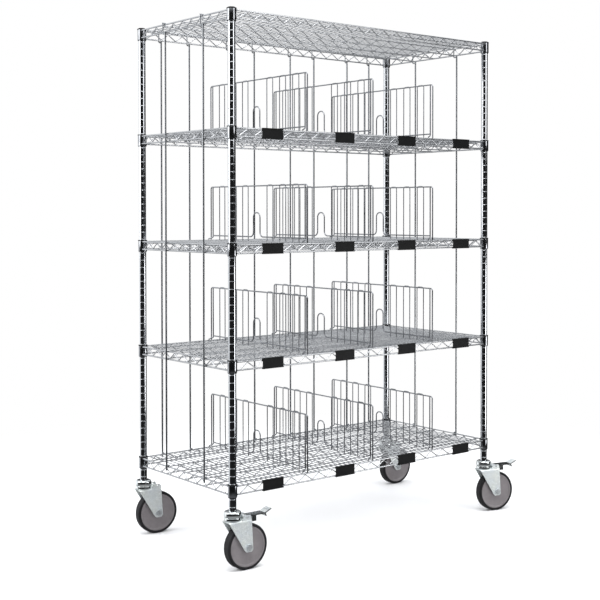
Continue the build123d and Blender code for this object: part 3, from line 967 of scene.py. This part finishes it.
@dataclass
class Caster:
    """One swivel caster: stem and cup, race, fork, wheel and, at the front, its brake."""

    corner: str
    cup_radius: float = 28.5 * MM
    race_radius: float = 27.5 * MM
    wheel_radius: float = 76.19 * MM
    wheel_half: float = 16.0 * MM
    tread: float = 9.7 * MM
    bush_radius: float = 9.1 * MM
    bush_half: float = 19.0 * MM
    hub_drop: float = 1.0 * MM
    hub_cut: float = 0.8 * MM
    hub_width: tuple[float, float] = (7.0 * MM, 8.2 * MM)
    web: tuple[tuple[float, float], ...] = ((10.0 * MM, 14.0 * MM), (16.0 * MM, 13.6 * MM))
    rim: tuple[tuple[float, float], ...] = (
        (9.0 * MM, 12.6 * MM), (7.0 * MM, 13.0 * MM), (5.0 * MM, 14.8 * MM),
        (4.0 * MM, 15.0 * MM), (0.0, 15.0 * MM),
    )
    kingpin_radius: float = 6.0 * MM
    kingpin_head: float = 5.6 * MM
    kingpin_slope: float = 0.4 * MM
    kingpin_spread: float = 1.6
    spigot_radius: float = 11.05 * MM
    cup_dome: float = 7.0 * MM
    cup_rim: float = 1.5 * MM
    cup_rim_cut: float = 0.4 * MM
    race_gap: float = 0.5 * MM
    race_rounding: float = 3.6 * MM
    running_gap: float = 0.06 * MM
    tread_shoulder: float = 4.5 * MM
    tread_lip: float = 0.6 * MM
    sharp_deg: float = 50.0
    core_sharp_deg: float = 35.0

    @property
    def name(self) -> str:
        """The start of this caster's node names."""
        return f"caster_{self.corner}"

    def hub(self) -> tuple[np.ndarray, np.ndarray]:
        """Finds the wheel's place from its roll joint.

        Returns:
            The wheel's middle and its axle's direction.
        """
        joint = next(j for j in frame["joints"] if j["name"] == f"{self.name}_roll")
        return np.array(joint["pos_m"]), np.array(joint["axis"])

    def head(self) -> None:
        """Builds the stem with its domed cup, and the race below it."""
        x, y = POST_AT[self.corner]
        low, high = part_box(f"{self.name}_stem")
        race_low, race_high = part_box(f"{self.name}_race")
        cup_low = race_high.z + self.race_gap
        cup_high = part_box(f"post_{self.corner}")[0].z
        r, pin, spigot = self.cup_radius, self.kingpin_radius, self.spigot_radius
        dome, rim, cut = self.cup_dome, self.cup_rim, self.cup_rim_cut
        head_r, head_top = pin * self.kingpin_spread, low.z + self.kingpin_head
        steps = np.linspace(0, np.pi / 2, 8)[:, None]
        shoulder = np.concatenate(
            [r - dome + dome * np.cos(steps), cup_high - dome + dome * np.sin(steps)], axis=1
        )
        profile = np.concatenate([
            [(head_r, low.z), (head_r, head_top), (pin, head_top + self.kingpin_slope),
             (pin, cup_low), (r - rim, cup_low), (r - cut, cup_low + cut), (r, cup_low + rim)],
            shoulder,
            [(spigot, cup_high), (spigot, high.z - rim), (spigot - rim, high.z)],
        ])
        make_piece(f"{self.name}_cup", [turned(profile, (x, y, 0), segments=56, closed=False)],
                   POLISHED_ZINC, "root", f"{self.name}_stem", self.sharp_deg)
        bore = pin + self.running_gap
        corners = [(bore, race_low.z), (self.race_radius, race_low.z),
                   (self.race_radius, race_high.z), (bore, race_high.z)]
        profile = rounded_profile(corners, self.race_rounding, 7)
        make_piece(f"{self.name}_lower_race", [turned(profile, (x, y, 0), segments=56)],
                   POLISHED_ZINC, f"{self.name}_swivel", f"{self.name}_race",
                   self.sharp_deg)

    def wheel(self) -> None:
        """Builds the tread with its rounded shoulders and the dished core."""
        middle_point, axis = self.hub()
        body = f"{self.name}_wheel"
        core_r = self.wheel_radius - self.tread
        steps = np.linspace(0, np.pi / 2, 7)[:, None]
        shoulder, lip = self.tread_shoulder, self.tread_lip
        upper = np.concatenate([
            self.wheel_radius - shoulder + shoulder * np.sin(steps),
            self.wheel_half - shoulder + shoulder * np.cos(steps)], axis=1)
        lower = upper[::-1] * np.array([1, -1])
        profile = np.concatenate([
            [(core_r, -self.wheel_half + lip), (core_r, self.wheel_half - lip),
             (core_r + lip, self.wheel_half)], upper, lower,
            [(core_r + lip, -self.wheel_half)]])
        make_piece(f"{self.name}_rubber_tread", [turned(profile, middle_point, axis, segments=96)],
                   TREAD_RUBBER, body, f"{self.name}_tread", self.sharp_deg)
        bore, outer = self.bush_radius + SEAT_GAP, core_r - SEAT_GAP
        # out from the bore: the hub's face, its slope, the dished web, then the rim's step
        hub, inner_width, outer_width = self.bush_half - self.hub_drop, *self.hub_width
        face = [(bore, hub), (bore + inner_width, hub), (bore + outer_width, hub - self.hub_cut)]
        face += [(bore + out, high) for out, high in self.web]
        face += [(outer - back, high) for back, high in self.rim]
        profile = face + [(r, -h) for r, h in face[::-1]]
        make_piece(f"{self.name}_dished_core", [turned(profile, middle_point, axis, segments=80)],
                   CORE_PLASTIC, body, f"{self.name}_wheel_core",
                   self.core_sharp_deg)

    def build(self) -> None:
        """Builds the turned pieces and dresses the pressed and moulded ones."""
        self.head()
        self.wheel()
        dress(f"{self.name}_fork", ZINC_PLATE)
        dress(f"{self.name}_axle_bolt", BOLT_STEEL)
        dress(f"{self.name}_bush", NYLON)
        if self.corner.startswith("front"):
            dress(f"{self.name}_brake_pedal", POLISHED_ZINC)
            dress(f"{self.name}_brake_pin", BOLT_STEEL)


# ---------------------------------------------------------------- stage


@dataclass
class Studio:
    """The pale floor, the soft lights and the camera."""

    camera_at: tuple[float, float, float] = (-2.7172, -3.3811, 1.1761)
    camera_yaw: float = 40.041
    camera_pitch: float = 1.236
    lens: float = 69.04
    shift: tuple[float, float] = (-0.075, -0.106)
    floor_half: float = 14.0
    fade_start: float = 0.9
    fade_end: float = 2.4
    pale: str = "FFFFFF"
    floor_colour: str = "F4F4F5"
    light_colour: str = "F8FAFC"
    side_way: tuple[float, float, float] = (-0.34, 0.94, 0.0)
    side_edge: tuple[float, float] = (0.70, 0.88)
    side_strength: tuple[float, float] = (0.02, 1.5)
    ceiling_edge: tuple[float, float] = (0.26, 0.46)
    ceiling_strength: float = 1.25
    ground_edge: tuple[float, float] = (-0.26, -0.50)
    ground_strength: float = 0.5

    def floor(self) -> None:
        """Lays a pale floor that fades out with distance from the cart."""
        h = self.floor_half
        mesh = bpy.data.meshes.new("studio_floor")
        mesh.from_pydata([(-h, -h, 0), (h, -h, 0), (h, h, 0), (-h, h, 0)], [], [(0, 1, 2, 3)])
        material = bpy.data.materials.new("matt_white_sweep")
        material.use_nodes = True
        tree = material.node_tree
        shader = tree.nodes["Principled BSDF"]
        shader.inputs["Base Color"].default_value = linear(self.floor_colour)
        shader.inputs["Roughness"].default_value = 0.85
        place = add_node(tree, "ShaderNodeTexCoord").outputs["Object"]
        distance = add_node(
            tree, "ShaderNodeVectorMath", {0: place}, operation="LENGTH"
        ).outputs["Value"]
        share = add_node(
            tree, "ShaderNodeMapRange",
            {"Value": distance, "From Min": self.fade_start, "From Max": self.fade_end},
            interpolation_type="SMOOTHSTEP",
        ).outputs["Result"]
        clear = add_node(tree, "ShaderNodeBsdfTransparent").outputs[0]
        pale = add_node(
            tree, "ShaderNodeMixShader", {0: share, 1: shader.outputs[0], 2: clear}
        ).outputs[0]
        mirrored = add_node(tree, "ShaderNodeLightPath").outputs["Is Glossy Ray"]
        mixed = add_node(
            tree, "ShaderNodeMixShader", {0: mirrored, 1: pale, 2: clear}
        ).outputs[0]
        tree.links.new(mixed, tree.nodes["Material Output"].inputs["Surface"])
        mesh.materials.append(material)
        floor = bpy.data.objects.new("studio_floor", mesh)
        bpy.context.scene.collection.objects.link(floor)

    def surroundings(self) -> None:
        """Makes what the plating mirrors: bright above, below and on one side, else dark."""
        world = bpy.data.worlds.new("studio")
        bpy.context.scene.world = world
        world.use_nodes = True
        tree = world.node_tree
        tree.nodes.clear()
        way = add_node(tree, "ShaderNodeTexCoord").outputs["Generated"]
        up = add_node(tree, "ShaderNodeSeparateXYZ", {0: way}).outputs["Z"]
        towards_left = add_node(
            tree, "ShaderNodeVectorMath", {0: way, 1: self.side_way}, operation="DOT_PRODUCT"
        ).outputs["Value"]
        left = add_node(
            tree, "ShaderNodeMapRange",
            {"Value": towards_left, "From Min": self.side_edge[0], "From Max": self.side_edge[1],
             "To Min": self.side_strength[0], "To Max": self.side_strength[1]},
        ).outputs["Result"]
        above = add_node(
            tree, "ShaderNodeMapRange",
            {"Value": up, "From Min": self.ceiling_edge[0], "From Max": self.ceiling_edge[1]},
        ).outputs["Result"]
        below = add_node(
            tree, "ShaderNodeMapRange",
            {"Value": up, "From Min": self.ground_edge[0], "From Max": self.ground_edge[1]},
        ).outputs["Result"]
        upper = add_node(
            tree, "ShaderNodeMix", {0: above, 2: left, 3: self.ceiling_strength}, data_type="FLOAT"
        ).outputs[0]
        light = add_node(
            tree, "ShaderNodeMix", {0: below, 2: upper, 3: self.ground_strength}, data_type="FLOAT"
        ).outputs[0]
        lit = add_node(
            tree, "ShaderNodeBackground", {"Color": linear(self.light_colour), "Strength": light}
        ).outputs[0]
        seen = add_node(
            tree, "ShaderNodeBackground", {"Color": linear(self.pale), "Strength": 1.0}
        ).outputs[0]
        direct = add_node(tree, "ShaderNodeLightPath").outputs["Is Camera Ray"]
        mixed = add_node(tree, "ShaderNodeMixShader", {0: direct, 1: lit, 2: seen}).outputs[0]
        output = add_node(tree, "ShaderNodeOutputWorld")
        tree.links.new(mixed, output.inputs["Surface"])

    def lamp(self, name: str, at: tuple[float, float, float], size: float, power: float,
             towards: tuple[float, float, float] = (0.0, 0.0, 0.8)) -> None:
        """Hangs a square soft light.

        Args:
            name: its name.
            at: its place.
            size: its side.
            power: its power in watts.
            towards: the point that it faces.
        """
        data = bpy.data.lights.new(name, "AREA")
        data.size, data.energy = size, power
        lamp = bpy.data.objects.new(name, data)
        lamp.location = at
        aim = Vector(towards) - Vector(at)
        lamp.rotation_euler = aim.to_track_quat("-Z", "Y").to_euler()
        bpy.context.scene.collection.objects.link(lamp)

    def camera(self) -> None:
        """Sets the camera at the reference viewing angle."""
        data = bpy.data.cameras.new("camera")
        data.lens, data.sensor_width = self.lens, 36.0
        data.shift_x, data.shift_y = self.shift
        camera = bpy.data.objects.new("camera", data)
        camera.location = self.camera_at
        camera.rotation_euler = (
            math.radians(90 - self.camera_pitch), 0, math.radians(-self.camera_yaw)
        )
        bpy.context.scene.collection.objects.link(camera)
        bpy.context.scene.camera = camera

    def build(self) -> None:
        """Sets up the floor, surroundings, lights and camera."""
        self.floor()
        self.surroundings()
        self.lamp("ceiling_softbox", (-0.6, -0.8, 4.2), 3.2, 150)
        self.lamp("left_softbox", (-3.6, 1.2, 2.0), 2.2, 60)
        self.lamp("front_softbox", (1.4, -4.2, 2.6), 2.0, 40)
        self.lamp("low_card", (2.1, -2.9, 0.30), 1.1, 24, (0.0, -0.3, 0.12))
        self.camera()
        bpy.context.scene.view_settings.view_transform = "Standard"


def main() -> None:
    """Builds the cart's pieces in order and the studio round them."""
    logging.basicConfig(level=logging.INFO, format="%(message)s")
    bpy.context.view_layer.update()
    shelf = Shelf()
    Posts().build()
    Sleeves().build()
    shelf.build()
    Dividers().build(shelf)
    Rods().build(shelf)
    dress("label_holders", BLACK_PLASTIC)
    for corner in CORNERS:
        Caster(corner).build()
    Studio().build()
    bpy.context.view_layer.update()


if __name__ == "__main__":
    main()
